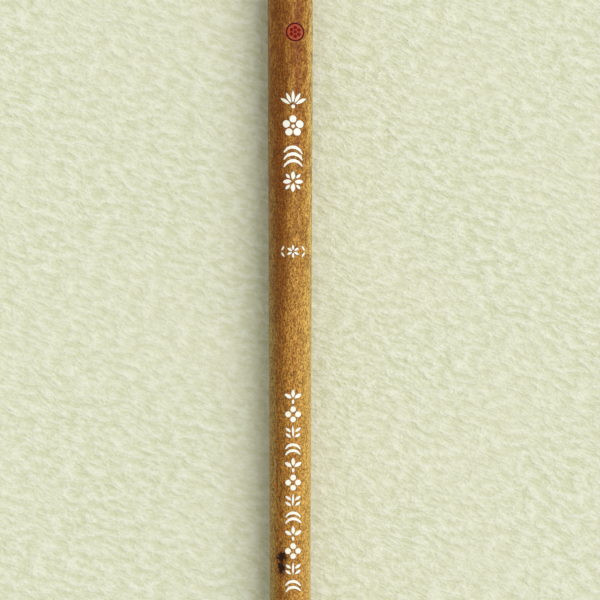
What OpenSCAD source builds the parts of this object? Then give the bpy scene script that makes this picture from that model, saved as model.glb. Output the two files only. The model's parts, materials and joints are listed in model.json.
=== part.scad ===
// A calligraphy brush that lies along Y, its hair tip towards -Y and its tail towards +Y.
// The origin is on the table, under the middle of the brush.
// Every turned piece is drawn upright first, with its height measured from the ferrule's mouth.

/* [Shaft] */
// Length of bamboo that shows between the two collars
shaft_length = 178; // [170:1:200]
// Diameter of the bamboo at the tail collar
shaft_tail_d = 9.4; // [9:0.1:9.6]
// Diameter of the bamboo at the front collar
shaft_front_d = 7.9; // [7.8:0.1:8.4]
// Diameter of the natural hollow down the bamboo
hollow_d = 3.2; // [2.6:0.1:3.6]
// Diameter of the tenon that the front of the bamboo is turned down to
tenon_d = 6; // [5.6:0.1:6.4]
// Length of the tenon, through the collar and into the ferrule
tenon_length = 7.4; // [6.4:0.1:7.6]
// Length of the hardwood plug that fills the hollow at the tenon
plug_length = 16; // [10:1:24]

/* [Collars] */
// Length of each collar along the brush
collar_length = 2.4; // [2:0.1:3]
// Diameter of the front collar
front_collar_d = 8.9; // [8.8:0.1:9.4]
// Diameter of the tail collar
tail_collar_d = 10.2; // [10:0.1:10.6]

/* [Ferrule] */
// Length of the ferrule
ferrule_length = 20; // [19.5:0.5:24]
// Widest diameter, which the ferrule and the tail cap share so that the brush lies level
rest_d = 11.4; // [11.2:0.1:12]
// Length of the straight band behind the mouth
band_length = 7; // [5:0.5:9]
// Diameter of the cup that holds the hair
cup_d = 9; // [8.9:0.1:9.2]
// Depth of the cup
cup_depth = 11; // [10.5:0.1:11.5]

/* [Tail cap] */
// Length of the tail cap that shows
tail_length = 15.2; // [14:0.2:18]
// Diameter of the knob at the very end
knob_d = 7; // [6.4:0.1:7.6]
// Diameter of the spigot that holds the cap in the bamboo
spigot_d = 5; // [4.6:0.1:5.4]
// Length of spigot inside the bamboo
spigot_length = 10; // [6:1:14]
// Diameter of the cross hole for a hanging cord
cord_hole_d = 2; // [1.6:0.1:2.4]

/* [Hair] */
// Length of hair in front of the ferrule
hair_length = 46; // [42:1:50]
// Diameter of the tuft at its belly
belly_d = 10.6; // [10:0.1:10.8]
// Distance from the mouth to the belly
belly_at = 13; // [10:1:16]
// Length of hair held inside the cup
root_length = 9.4; // [9:0.1:9.6]
// Thickness of one thread of the outer binding
thread_d = 0.36; // [0.3:0.02:0.38]

/* [Ornament] */
// Depth of the cutting
cut_depth = 0.3; // [0.2:0.05:0.4]
// How far the paint lies below the bamboo
paint_sunk = 0.05; // [0.02:0.01:0.1]
// Sideways place of the ornament's centre line
mark_x = 0.6; // [0:0.1:1]
// Distance along the brush from the ferrule's mouth to the middle of the ornament
mark_middle = 106; // [100:1:112]

/* [Hidden] */
$fn = 120;

bamboo = "#a9773f";
hardwood = "#c9a878";
horn = "#231f1d";
bone = "#e9e0c8";
resin = "#b8792c";
thread = "#e6ddc6";
core_brown = "#6d4320";
belly_tan = "#b98a4e";
cloak_gold = "#c08a48";
cream_paint = "#faf5eb";
red_paint = "#b5393a";

// Places along the brush, from the ferrule's mouth
shaft_from = ferrule_length + collar_length;
shaft_to = shaft_from + shaft_length;
cap_from = shaft_to + collar_length;
brush_length = hair_length + cap_from + tail_length;
axis_height = rest_d / 2;

// Space left by a glue line, and between the hair and what it touches
glue = 0.03;
hair_gap = 0.08;
// Room past a face, so that a cut goes right through it
past = 1;

// Radius of the bamboo at a place along the brush
function shaft_r(at) = (shaft_front_d
    + (shaft_tail_d - shaft_front_d) * (at - shaft_from) / shaft_length) / 2;

// Goes smoothly from 0 to 1 as t does
function ease(t) = (1 - cos(180 * t)) / 2;

// Outline of the tuft: it swells from the mouth to the belly and then runs out to a point
cup_r = cup_d / 2;
mouth_r = cup_r - hair_gap;
belly_r = belly_d / 2;
tip_r = 0.12;
function tuft_r(out) = out <= belly_at
    ? mouth_r + (belly_r - mouth_r) * sin(90 * out / belly_at)
    : tip_r + (belly_r - tip_r) * pow(cos(90 * (out - belly_at) / (hair_length - belly_at)), 1.25);

// The cloak and the belly hair thin out to almost nothing before they reach the tip
cloak_end = hair_length - 4;
belly_end = hair_length - 15;
cloak_root = 0.95;
belly_root = 1.2;
thin_edge = 0.06;
layer_gap = 0.03;
function cloak_in(out) = tuft_r(out) - thin_edge - cloak_root * (1 - out / cloak_end);
function belly_out(out) = cloak_in(out) - layer_gap;
function belly_in(out) = belly_out(out) - thin_edge - belly_root * (1 - out / belly_end);
function core_r(out) = out < belly_end ? belly_in(out) - layer_gap
    : out < cloak_end ? belly_out(out)
    : tip_r + (belly_out(cloak_end) - tip_r) * (hair_length - out) / (hair_length - cloak_end);

// The bindings lie in waists cut into the roots
waist_from = 4;
waist_r = cup_r - 2 * hair_gap - thread_d;
core_thread_d = 0.3;
pocket_r = core_r(0) + hair_gap + core_thread_d + hair_gap;
hair_step = 1;

// Turns an upright piece down along the brush
module laid() {
    translate([0, hair_length - brush_length / 2, axis_height]) rotate([-90, 0, 0]) children();
}

// A turned piece from [radius, height] points
module turned(outline) {
    rotate_extrude() polygon(outline);
}

// A plain turned rod between two heights
module rod(from, to, radius) {
    translate([0, 0, from]) cylinder(h = to - from, r = radius);
}

// The bamboo's outer cone, shrunk by inset all round
module bamboo_cone(inset) {
    turned([[0, shaft_from], [shaft_r(shaft_from) - inset, shaft_from],
        [shaft_r(shaft_to) - inset, shaft_to], [0, shaft_to]]);
}

// A pointed leaf that grows along +Y from the origin, as the overlap of two circles
module leaf(length, width) {
    arc_r = (length * length + width * width) / (4 * width);
    intersection() {
        translate([arc_r - width / 2, length / 2]) circle(arc_r);
        translate([width / 2 - arc_r, length / 2]) circle(arc_r);
    }
}

// A crescent that opens downwards, its top at the origin
module crescent(radius, thickness) {
    translate([0, -radius]) intersection() {
        difference() {
            circle(radius);
            translate([0, -thickness]) circle(radius);
        }
        translate([-radius, radius * 0.25]) square([radius * 2, radius]);
    }
}

// Round petals about a centre
module blossom(petals, reach, petal_r) {
    for (i = [0 : petals - 1])
        rotate(i * 360 / petals) translate([0, reach]) circle(petal_r);
}

// Leaves that fan out from a centre, with a gap between their points
module fan(leaves, first, turn, length, width, gap) {
    for (i = [0 : leaves - 1])
        rotate(first + i * turn) translate([0, gap]) leaf(length, width);
}

// The four large marks, from the tail end down
module spray_mark() {
    translate([0, -1.5]) fan(5, -58, 29, 2.5, 0.7, 0.6);
    translate([0, -1.6]) circle(0.42);
}
module blossom_mark() {
    blossom(5, 1.4, 0.76);
    circle(0.4);
}
module wave_mark() {
    for (i = [0 : 2]) translate([0, 1.7 - i * 1.35]) crescent(2.1, 0.72);
}
module star_mark() {
    fan(4, 0, 90, 1.8, 0.9, 0.3);
    fan(4, 45, 90, 1.3, 0.62, 0.85);
}

// The small mark between two arrowheads
module framed_mark() {
    fan(6, 0, 60, 1.15, 0.52, 0.22);
    for (side = [-1, 1]) translate([side * 2.45, 0]) for (slant = [32, 148])
        rotate(side * slant) translate([0, 0.12]) leaf(1.25, 0.42);
}

// The four small marks that take turns down the column
module sprig_mark() {
    translate([0, -0.4]) fan(3, -58, 58, 1.7, 0.8, 0.3);
    translate([0, -0.4]) rotate(180) leaf(1, 0.62);
}
module bud_mark() {
    blossom(4, 1, 0.6);
}
module ripple_mark() {
    for (i = [0 : 1]) translate([0, 1.1 - i * 1.15]) crescent(1.7, 0.64);
}
module twig_mark() {
    translate([0, -1.4]) leaf(2.8, 0.5);
    for (side = [-1, 1]) for (height = [-1.2, -0.1])
        translate([side * 0.36, height]) rotate(side * -56) leaf(1.45, 0.62);
}

// Places of the ornament along the brush
seal_at = mark_middle + 52.9;
seal_shift = 0.4;
seal_r = 1.85;
seal_ring = 0.3;
large_from = mark_middle + 39.8;
large_pitch = 5.47;
framed_at = mark_middle + 9.6;
small_from = mark_middle - 19.2;
small_pitch = 3.38;
small_count = 12;

// Puts a flat shape over the bamboo at a place along the brush and carries it down to the axis
module over(at, shift = 0) {
    translate([mark_x + shift, at + hair_length - brush_length / 2, axis_height])
        linear_extrude(shaft_tail_d) children();
}

module seal_shapes() {
    over(seal_at, seal_shift) difference() {
        circle(seal_r);
        circle(seal_r - seal_ring);
    }
    over(seal_at, seal_shift) blossom(6, 0.85, 0.38);
    over(seal_at, seal_shift) circle(0.34);
}

module upper_shapes() {
    over(large_from) spray_mark();
    over(large_from - large_pitch) blossom_mark();
    over(large_from - 2 * large_pitch) wave_mark();
    over(large_from - 3 * large_pitch) star_mark();
    over(framed_at) framed_mark();
}

module lower_shapes() {
    for (i = [0 : small_count - 1]) over(small_from - i * small_pitch) {
        if (i % 4 == 0) sprig_mark();
        if (i % 4 == 1) bud_mark();
        if (i % 4 == 2) twig_mark();
        if (i % 4 == 3) ripple_mark();
    }
}

// Keeps the part of the upright shapes that lies in the bamboo's skin, between two depths
module in_skin(shallow, deep) {
    intersection() {
        children();
        laid() difference() {
            bamboo_cone(shallow);
            bamboo_cone(deep);
        }
    }
}

module shaft() {
    color(bamboo) difference() {
        laid() difference() {
            union() {
                bamboo_cone(0);
                rod(shaft_from - tenon_length, shaft_from + past, tenon_d / 2);
            }
            rod(shaft_from - tenon_length - past, shaft_to + past, hollow_d / 2);
            rod(shaft_to - spigot_length - past, shaft_to + past, spigot_d / 2 + glue);
        }
        in_skin(-past, cut_depth) {
            seal_shapes();
            upper_shapes();
            lower_shapes();
        }
    }
}

module seal_fill() {
    color(red_paint) in_skin(paint_sunk, cut_depth) seal_shapes();
}

module upper_mark_fill() {
    color(cream_paint) in_skin(paint_sunk, cut_depth) upper_shapes();
}

module lower_mark_fill() {
    color(cream_paint) in_skin(paint_sunk, cut_depth) lower_shapes();
}

module front_plug() {
    from = shaft_from - tenon_length;
    color(hardwood) laid() rod(from, from + plug_length, hollow_d / 2 - glue);
}

// A collar with softened rims
module collar(from, outer_d, hole_d) {
    soft = 0.35;
    r = outer_d / 2;
    turned([[hole_d / 2, from], [r - soft, from], [r, from + soft],
        [r, from + collar_length - soft], [r - soft, from + collar_length],
        [hole_d / 2, from + collar_length]]);
}

module front_collar() {
    color(bone) laid() collar(ferrule_length, front_collar_d, tenon_d + 2 * glue);
}

module tail_collar() {
    color(bone) laid() collar(shaft_to, tail_collar_d, spigot_d + 2 * glue);
}

// The ferrule: a lip, a straight band, then a smooth taper to the collar
module ferrule() {
    lip = 0.6;
    back_r = front_collar_d / 2 + 0.1;
    steps = 14;
    taper_length = ferrule_length - lip - band_length;
    taper = [for (i = [0 : steps]) [axis_height + (back_r - axis_height) * ease(i / steps),
        lip + band_length + taper_length * i / steps]];
    outline = concat([[0, 0], [axis_height - lip, 0], [axis_height - lip / 4, lip / 3],
        [axis_height, lip]], taper, [[0, ferrule_length]]);
    color(horn) laid() difference() {
        turned(outline);
        rod(-past, cup_depth, cup_r);
        rod(shaft_from - tenon_length - glue, ferrule_length + past, tenon_d / 2 + glue);
    }
}

module root_resin() {
    color(resin) laid() rod(root_length + hair_gap, cup_depth - glue, cup_r - glue);
}

// Turns of thread side by side round a bundle of the given radius
module binding(from, to, bundle_r, thickness) {
    pitch = thickness * 1.06;
    turns = floor((to - from) / pitch);
    for (i = [0 : turns - 1]) translate([0, 0, from + (i + 0.5) * pitch])
        rotate_extrude() translate([bundle_r + thickness / 2, 0]) circle(d = thickness, $fn = 24);
}

module core_binding() {
    color(thread) laid()
        binding(waist_from + 0.8, root_length - 0.4, core_r(0) + hair_gap, core_thread_d);
}

module tuft_binding() {
    color(thread) laid()
        binding(waist_from + 0.6, root_length - 0.3, waist_r + hair_gap, thread_d);
}

module core_hair() {
    front = [for (out = [0 : hair_step : hair_length]) [core_r(out), -out]];
    color(core_brown) laid()
        turned(concat([[0, root_length], [core_r(0), root_length]], front, [[0, -hair_length]]));
}

module belly_hair() {
    outer = [for (out = [0 : hair_step : belly_end]) [belly_out(out), -out]];
    inner = [for (out = [belly_end : -hair_step : 0]) [belly_in(out), -out]];
    color(belly_tan) laid() turned(concat([[belly_out(0), root_length]], outer, inner,
        [[belly_in(0), waist_from], [pocket_r, waist_from], [pocket_r, root_length]]));
}

module cloak_hair() {
    outer = [for (out = [0 : hair_step : cloak_end]) [tuft_r(out), -out]];
    inner = [for (out = [cloak_end : -hair_step : 0]) [cloak_in(out), -out]];
    color(cloak_gold) laid() turned(concat([[waist_r, root_length], [waist_r, waist_from],
        [mouth_r, waist_from - 1]], outer, inner, [[cloak_in(0), root_length]]));
}

// The tail cap: a swelling that the brush lies on, a waist, and a knob with the cord hole
module tail_cap() {
    base_r = tail_collar_d / 2 + 0.1;
    knob_r = knob_d / 2;
    swell_at = 4;
    knob_from = tail_length - 5.4;
    knob_to = tail_length - 1.2;
    steps = 10;
    swell = [for (i = [0 : steps]) [base_r + (axis_height - base_r) * sin(90 * i / steps),
        cap_from + swell_at * i / steps]];
    fall = [for (i = [1 : steps]) [axis_height + (knob_r - axis_height) * ease(i / steps),
        cap_from + swell_at + (knob_from - swell_at) * i / steps]];
    crown = [for (i = [1 : steps]) [knob_r - 1.6 * (1 - cos(90 * i / steps)),
        cap_from + knob_to + (tail_length - knob_to) * sin(90 * i / steps)]];
    knob_middle = cap_from + (knob_from + knob_to) / 2;
    color(horn) laid() difference() {
        union() {
            turned(concat([[0, cap_from]], swell, fall, [[knob_r, cap_from + knob_to]], crown,
                [[0, cap_from + tail_length]]));
            rod(shaft_to - spigot_length, cap_from + past, spigot_d / 2);
        }
        translate([0, 0, knob_middle]) rotate([0, 90, 0])
            cylinder(h = rest_d, d = cord_hole_d, center = true);
    }
}

shaft();
front_plug();
front_collar();
ferrule();
root_resin();
core_binding();
tuft_binding();
core_hair();
belly_hair();
cloak_hair();
tail_collar();
tail_cap();
seal_fill();
upper_mark_fill();
lower_mark_fill();
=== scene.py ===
# %% [markdown]
# # A calligraphy brush
#
# A calligraphy brush is a bamboo stick with a tuft of hair set in a horn cup at one end and a turned
# horn cap at the other. Its sizes and places are already settled in a packed CAD model. This notebook
# loads that model and gives it real surfaces: cut and painted ornament, polished horn, bone, and hair
# made of single strands. The first cell loads the model and keeps its parts.

# %% Load the frame
import json
import math
import random

import bpy
import numpy as np
from mathutils import Euler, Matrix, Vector, noise
from mathutils.geometry import delaunay_2d_cdt


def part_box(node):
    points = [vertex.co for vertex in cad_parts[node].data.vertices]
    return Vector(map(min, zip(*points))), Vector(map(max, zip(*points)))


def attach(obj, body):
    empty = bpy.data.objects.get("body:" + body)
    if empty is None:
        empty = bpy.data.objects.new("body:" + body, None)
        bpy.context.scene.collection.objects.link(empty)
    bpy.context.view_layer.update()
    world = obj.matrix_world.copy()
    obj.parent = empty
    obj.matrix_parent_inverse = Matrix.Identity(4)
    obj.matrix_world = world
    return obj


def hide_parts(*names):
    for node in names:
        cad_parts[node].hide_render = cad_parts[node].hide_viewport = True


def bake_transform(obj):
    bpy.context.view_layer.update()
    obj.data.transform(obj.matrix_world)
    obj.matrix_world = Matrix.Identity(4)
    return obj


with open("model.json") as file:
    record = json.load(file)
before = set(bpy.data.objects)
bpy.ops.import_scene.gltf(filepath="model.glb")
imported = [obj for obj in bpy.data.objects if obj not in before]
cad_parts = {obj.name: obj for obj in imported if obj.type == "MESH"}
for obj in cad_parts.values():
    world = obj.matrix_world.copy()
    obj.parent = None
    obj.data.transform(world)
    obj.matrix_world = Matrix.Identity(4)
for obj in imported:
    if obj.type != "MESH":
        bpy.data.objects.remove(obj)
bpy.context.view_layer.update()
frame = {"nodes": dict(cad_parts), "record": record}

# %% [markdown]
# ## Places along the brush
#
# The brush lies along Y, hair towards -Y, on a table at height 0. Every piece is turned about one
# axis, so a place along Y and a radius describe most of it. The places come from the boxes of the
# CAD nodes, and only small details, such as the width of a rim, are new numbers. They are written
# in millimetres and turned into metres when a mesh is made.

# %% Read the places from the frame
MM = 0.001


def ends(node):
    """Where a CAD node begins and ends along the brush, in mm."""
    low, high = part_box(node)
    return low[1] / MM, high[1] / MM


def widest(node):
    """Largest radius of a CAD node, in mm."""
    low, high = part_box(node)
    return (high[0] - low[0]) / 2 / MM


axis_z = (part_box("shaft")[0][2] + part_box("shaft")[1][2]) / 2 / MM
mouth, ferrule_back = ends("ferrule")
skin_from = ends("front_collar")[1]
skin_to = ends("tail_collar")[0]
tenon_from = ends("shaft")[0]
spigot_from = ends("tail_cap")[0]
cap_from = ends("tail_collar")[1]
tail = ends("tail_cap")[1]
tip = ends("core_hair")[0]
rest_r = widest("ferrule")
hole = frame["record"]["mounts"][0]
print("axis height", round(axis_z, 2), "mouth", round(mouth, 2), "bamboo", skin_from, "to", skin_to)

# %% [markdown]
# ## Camera
#
# The brush is seen from straight above, with its tail at the top of the view, and only the middle
# of the stick fits in. A long lens keeps the stick's sides nearly parallel. The camera's distance
# follows from SEEN, the length of stick that should fill the view. VIEW_MIDDLE and VIEW_ASIDE say
# where the middle of the view lies, in mm.

# %% Camera
SEEN = 120.0
VIEW_MIDDLE = 20.0
VIEW_ASIDE = 1.96
LENS, SENSOR = 100.0, 36.0

camera_data = bpy.data.cameras.new("camera")
camera_data.lens = LENS
camera_data.sensor_width = SENSOR
camera = bpy.data.objects.new("camera", camera_data)
distance = SEEN * LENS / SENSOR
camera.location = Vector((VIEW_ASIDE, VIEW_MIDDLE, distance + axis_z)) * MM
bpy.context.scene.collection.objects.link(camera)
bpy.context.scene.camera = camera
print("camera is", round(distance), "mm above the axis")

# %% [markdown]
# ## Light
#
# One broad, soft light from the right models the round stick and leaves a soft shadow on its
# left. A large lamp with an area would do it near the brush, but it would fall off over a wide
# floor. A sun with a wide angle is even everywhere, so all views look alike. A plain pale sky fills
# the shadow. The standard view transform shows each colour as it is mixed in the materials.

# %% Light and sky
SUN_HEIGHT = 54
SUN_TOWARDS_TAIL = 14
SUN_WIDTH = 48
SUN_POWER = 1.73
SUN_COLOR = (1.0, 0.995, 0.99)

bpy.context.scene.view_settings.view_transform = "Standard"
sun_data = bpy.data.lights.new("window_light", "SUN")
sun_data.energy = SUN_POWER
sun_data.angle = math.radians(SUN_WIDTH)
sun_data.color = SUN_COLOR
sun = bpy.data.objects.new("window_light", sun_data)
sun.rotation_euler = Euler((0, math.radians(90 - SUN_HEIGHT), math.radians(SUN_TOWARDS_TAIL)))
bpy.context.scene.collection.objects.link(sun)

sky = bpy.data.worlds.new("pale_sky")
sky.use_nodes = True
bpy.context.scene.world = sky
print("sun", SUN_HEIGHT, "degrees high,", SUN_WIDTH, "degrees wide")

# %% [markdown]
# ## Short calls for shader nodes
#
# A node graph written out in full is long and hard to read. This small class adds a node, sets its
# settings and its inputs, and links an input when it is given another node's output. A name such
# as Base_Color stands for the input Base Color. The Mix node keeps a set of sockets for each kind
# of data, so the ones for colour are found by their numbers.


# %% A helper for node graphs
MIX_SHARE, MIX_FIRST, MIX_SECOND, MIX_RESULT = 0, 6, 7, 2


class Graph:
    """Adds nodes to one tree. add returns the node, and the other calls return its outputs."""

    def __init__(self, tree):
        self.tree = tree

    def add(self, kind, settings=None, **inputs):
        made = self.tree.nodes.new("ShaderNode" + kind)
        for name, value in (settings or {}).items():
            setattr(made, name, value)
        for name, value in inputs.items():
            self.feed(made.inputs[name.replace("_", " ")], value)
        return made

    def feed(self, socket, value):
        if isinstance(value, bpy.types.NodeSocket):
            self.tree.links.new(value, socket)
        elif isinstance(value, (tuple, list)) and len(value) == 3 and socket.type == "RGBA":
            socket.default_value = (*value, 1)
        else:
            socket.default_value = value

    def math(self, operation, *values):
        made = self.add("Math", {"operation": operation})
        for socket, value in zip(made.inputs, values):
            self.feed(socket, value)
        return made.outputs[0]

    def times(self, first, second):
        return self.math("MULTIPLY", first, second)

    def mix(self, share, first, second, blend="MIX"):
        made = self.add("Mix", {"data_type": "RGBA", "blend_type": blend})
        for index, value in ((MIX_SHARE, share), (MIX_FIRST, first), (MIX_SECOND, second)):
            self.feed(made.inputs[index], value)
        return made.outputs[MIX_RESULT]

    def fade(self, value, low, high, to_low=0.0, to_high=1.0):
        """Maps value smoothly from low..high to to_low..to_high."""
        made = self.add("MapRange", {"interpolation_type": "SMOOTHSTEP"})
        for index, v in enumerate((value, low, high, to_low, to_high)):
            self.feed(made.inputs[index], v)
        return made.outputs[0]

    def noise(self, vector, scale, detail=2.0, rough=0.5):
        made = self.add("TexNoise", Vector=vector, Scale=scale, Detail=detail, Roughness=rough)
        return made.outputs["Fac"]

    def place(self):
        """Position on the object in mm, as a vector and as x, y and z."""
        where = self.add("TexCoord").outputs["Object"]
        scaled = self.add("VectorMath", {"operation": "SCALE"})
        self.feed(scaled.inputs[0], where)
        scaled.inputs["Scale"].default_value = 1 / MM
        split = self.add("SeparateXYZ", Vector=scaled.outputs[0])
        return scaled.outputs[0], split.outputs

    def group(self, made, **inputs):
        """Places a node group and returns its outputs by name."""
        node = self.tree.nodes.new("ShaderNodeGroup")
        node.node_tree = made
        for name, value in inputs.items():
            self.feed(node.inputs[name.replace("_", " ")], value)
        return node.outputs


print("graph helper with", len([key for key in vars(Graph) if key[0] != "_"]), "calls")

# %% [markdown]
# ## Short calls for materials
#
# Every finish starts from a Principled shader. Values that are the same all over a piece are set
# straight on the shader, and a graph adds what changes from place to place. A bump feeds the
# shader's normal and gets its depth in millimetres.


# %% Helpers for materials
def material(name, **plain):
    """A new material with a Principled shader: returns it, its graph and its shader."""
    made = bpy.data.materials.new(name)
    made.use_nodes = True
    shader = made.node_tree.nodes["Principled BSDF"]
    for key, value in plain.items():
        shader.inputs[key.replace("_", " ")].default_value = value
    return made, Graph(made.node_tree), shader


def bump(graph, shader, height, depth, strength=1.0):
    """Feeds a height between 0 and 1 to the shader's normal, depth in mm."""
    made = graph.add("Bump", Height=height)
    made.inputs["Strength"].default_value = strength
    made.inputs["Distance"].default_value = depth * MM
    graph.tree.links.new(made.outputs[0], shader.inputs["Normal"])


print("material helpers ready")

# %% [markdown]
# The sky can now be given its two tones: the floor's own tone low down, so that no hard horizon
# shows behind the brush in a low view, and a little less light overhead, which keeps the shadow.

# %% Tones of the sky
SKY_LOW, SKY_HIGH = (0.745, 0.77, 0.60), (0.56, 0.56, 0.48)

sky_graph = Graph(sky.node_tree)
upwards = sky_graph.add("SeparateXYZ", Vector=sky_graph.add("TexCoord").outputs["Generated"])
tone = sky_graph.mix(sky_graph.fade(upwards.outputs["Z"], 0.06, 0.4), SKY_LOW, SKY_HIGH)
sky_graph.feed(sky.node_tree.nodes["Background"].inputs["Color"], tone)
print("sky from", SKY_LOW, "low down to", SKY_HIGH, "overhead")

# %% [markdown]
# ## Shared effects as node groups
#
# An effect that several materials use is built once, as a node group with named inputs and
# outputs, and each material places it with its own values. The first helper makes an empty group
# with its sockets.


# %% A helper for node groups
def node_group(name, inputs, outputs):
    made = bpy.data.node_groups.new(name, "ShaderNodeTree")
    for key, kind, value in inputs:
        socket = made.interface.new_socket(key, in_out="INPUT", socket_type="NodeSocket" + kind)
        if value is not None:
            socket.default_value = value
    for key, kind in outputs:
        made.interface.new_socket(key, in_out="OUTPUT", socket_type="NodeSocket" + kind)
    return made, Graph(made), made.nodes.new("NodeGroupInput"), made.nodes.new("NodeGroupOutput")


print("group helper ready")

# %% [markdown]
# Bamboo, hardwood, horn, bone and hair all show marks that run lengthwise, because all of them grew
# that way. One group makes such marks: it squeezes a noise along the brush, and each material
# chooses how long and how fine.


# %% Lengthwise grain
def lengthwise_grain():
    """Marks that run along Y: Across and Along say how many there are in a millimetre."""
    made, g, given, put = node_group(
        "lengthwise_grain",
        [("Position", "Vector", None), ("Across", "Float", 1.0), ("Along", "Float", 0.1),
         ("Low", "Float", 0.4), ("High", "Float", 0.6), ("Detail", "Float", 3.0)],
        [("Mask", "Float")])
    scale = g.add("CombineXYZ", X=given.outputs["Across"], Y=given.outputs["Along"],
                  Z=given.outputs["Across"]).outputs[0]
    product = g.add("VectorMath", {"operation": "MULTIPLY"})
    g.feed(product.inputs[0], given.outputs["Position"])
    g.feed(product.inputs[1], scale)
    value = g.noise(product.outputs[0], 1.0, given.outputs["Detail"], 0.55)
    mask = g.fade(value, given.outputs["Low"], given.outputs["High"])
    g.feed(put.inputs["Mask"], mask)
    return made


GRAIN = lengthwise_grain()
print("group:", GRAIN.name)

# %% [markdown]
# Paint that was brushed into a cut is never quite even. The second group mottles its colour and
# gives its surface a fine height. The third shades each strand of hair from root to point, by two
# values that are stored on the mesh: tone, one for each strand, and reach, from 0 at the root to 1
# at the tip.


# %% Paint mottle and strand shade
def paint_mottle():
    """Brushed-in paint: its colour is a little uneven and its surface is grainy."""
    made, g, given, put = node_group(
        "paint_mottle",
        [("Position", "Vector", None), ("Color", "Color", (1, 1, 1, 1)),
         ("Thin", "Color", (0.5, 0.5, 0.5, 1)), ("Amount", "Float", 0.3)],
        [("Color", "Color"), ("Height", "Float")])
    patches = g.fade(g.noise(given.outputs["Position"], 3.2, 3.0), 0.5, 0.75)
    share = g.times(patches, given.outputs["Amount"])
    g.feed(put.inputs["Color"], g.mix(share, given.outputs["Color"], given.outputs["Thin"]))
    g.feed(put.inputs["Height"], g.noise(given.outputs["Position"], 9.0, 3.0, 0.6))
    return made


def strand_shade():
    """Shades a strand by its own tone, and from root to point by its reach."""
    made, g, given, put = node_group(
        "strand_shade",
        [("Root", "Color", (0.5, 0.3, 0.1, 1)), ("Middle", "Color", (0.5, 0.3, 0.1, 1)),
         ("Point", "Color", (0.2, 0.1, 0.05, 1)), ("Spread", "Float", 0.5)],
        [("Color", "Color"), ("Tone", "Float")])
    tone = g.add("Attribute", {"attribute_name": "tone"}).outputs["Fac"]
    reach = g.add("Attribute", {"attribute_name": "reach"}).outputs["Fac"]
    start = g.mix(g.fade(reach, 0.0, 0.45), given.outputs["Root"], given.outputs["Middle"])
    whole = g.mix(g.fade(reach, 0.55, 0.98), start, given.outputs["Point"])
    dark = g.mix(1.0, whole, (0.46, 0.38, 0.3), "MULTIPLY")
    share = g.times(tone, given.outputs["Spread"])
    g.feed(put.inputs["Color"], g.mix(share, whole, dark))
    g.feed(put.inputs["Tone"], tone)
    return made


MOTTLE, STRAND = paint_mottle(), strand_shade()
print("groups:", [made.name for made in bpy.data.node_groups])

# %% [markdown]
# ## Floor
#
# The brush lies on pale felt with a slight green tone. Felt is pressed wool, so its fibres lie
# mostly one way and sway as they go. A noise that is stretched along a slanted line draws them:
# broad ridges first, and then two finer sets that cross. They feed the colour and the bump
# alike, so the valleys are darker too. The felt is not part of the brush.


# %% Floor
FLOOR_HALF = 6.0
# The first colour below is painted shade, for the valleys between the fibres.
FELT_VALLEY_SHADE, FELT_TOP, FELT_CLOUD = (0.665, 0.695, 0.495), (0.84, 0.865, 0.77), (0.80, 0.795, 0.67)


def make_floor():
    half = FLOOR_HALF
    mesh = bpy.data.meshes.new("floor")
    mesh.from_pydata([(-half, -half, 0), (half, -half, 0), (half, half, 0), (-half, half, 0)],
                     [], [(0, 1, 2, 3)])
    made = bpy.data.objects.new("floor", mesh)
    bpy.context.scene.collection.objects.link(made)
    mat, g, shader = material("pale_cloth", Roughness=0.95)
    shader.inputs["Specular IOR Level"].default_value = 0.1
    where, _ = g.place()
    warp = g.add("TexNoise", Vector=where, Scale=0.1, Detail=3.0).outputs["Color"]
    pushed = g.add("VectorMath", {"operation": "MULTIPLY_ADD"})
    g.feed(pushed.inputs[0], warp)
    pushed.inputs[1].default_value = (3.0, 3.0, 0.0)
    g.feed(pushed.inputs[2], where)

    def fibres(lean, length, width, detail=4.0):
        """Wool that lies one way, with its sway. Length and width are in mm."""
        lying = g.add("Mapping", {"vector_type": "TEXTURE"}, Vector=pushed.outputs[0],
                      Rotation=(0, 0, math.radians(lean)), Scale=(length, width, 1.0))
        return g.noise(lying.outputs[0], 1.0, detail, 0.58)

    ridges = fibres(-17, 2.8, 1.35, 3.0)
    crossed = g.math("MAXIMUM", fibres(-27, 0.95, 0.5), fibres(14, 0.85, 0.45))
    cloud = g.noise(where, 0.035, 2.0)
    height = g.math("ADD", g.times(ridges, 0.9), g.times(crossed, 0.3))
    shade = g.math("ADD", g.times(ridges, 0.6), g.times(crossed, 0.4))
    # Painted shade: the colour follows the relief, darker in the valleys and paler on the ridges.
    color = g.mix(g.fade(shade, 0.38, 0.66), FELT_VALLEY_SHADE, FELT_TOP)
    color = g.mix(g.fade(cloud, 0.35, 0.65, 0.0, 0.3), color, FELT_CLOUD)
    g.feed(shader.inputs["Base Color"], color)
    bump(g, shader, height, 1.8, 0.52)
    mesh.materials.append(mat)


make_floor()
print("floor of", 2 * FLOOR_HALF, "m made")

# %% [markdown]
# ## Bamboo
#
# The stick is brown bamboo with a thin varnish. A dark scar lies beside the ornament, as bamboo
# often has one, and it also sinks in a little, which the mesh does later. A round red seal sits
# near the tail. Materials and meshes both need these places, so they are settled first, as x and y
# in mm.

# %% Scar and seal
SCAR, SCAR_HALF = (-1.65, VIEW_MIDDLE - 52.3), (0.9, 2.4)
SCAR_LOBES = (((-1.72, VIEW_MIDDLE - 50.9), (0.85, 1.1)), ((-1.75, VIEW_MIDDLE - 53.0), (0.7, 1.2)))
SEAL = (1.0, VIEW_MIDDLE + 52.9)
SEAL_R, SEAL_RING = 1.85, 0.3
print("scar at", SCAR, "and seal at", SEAL)
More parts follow.
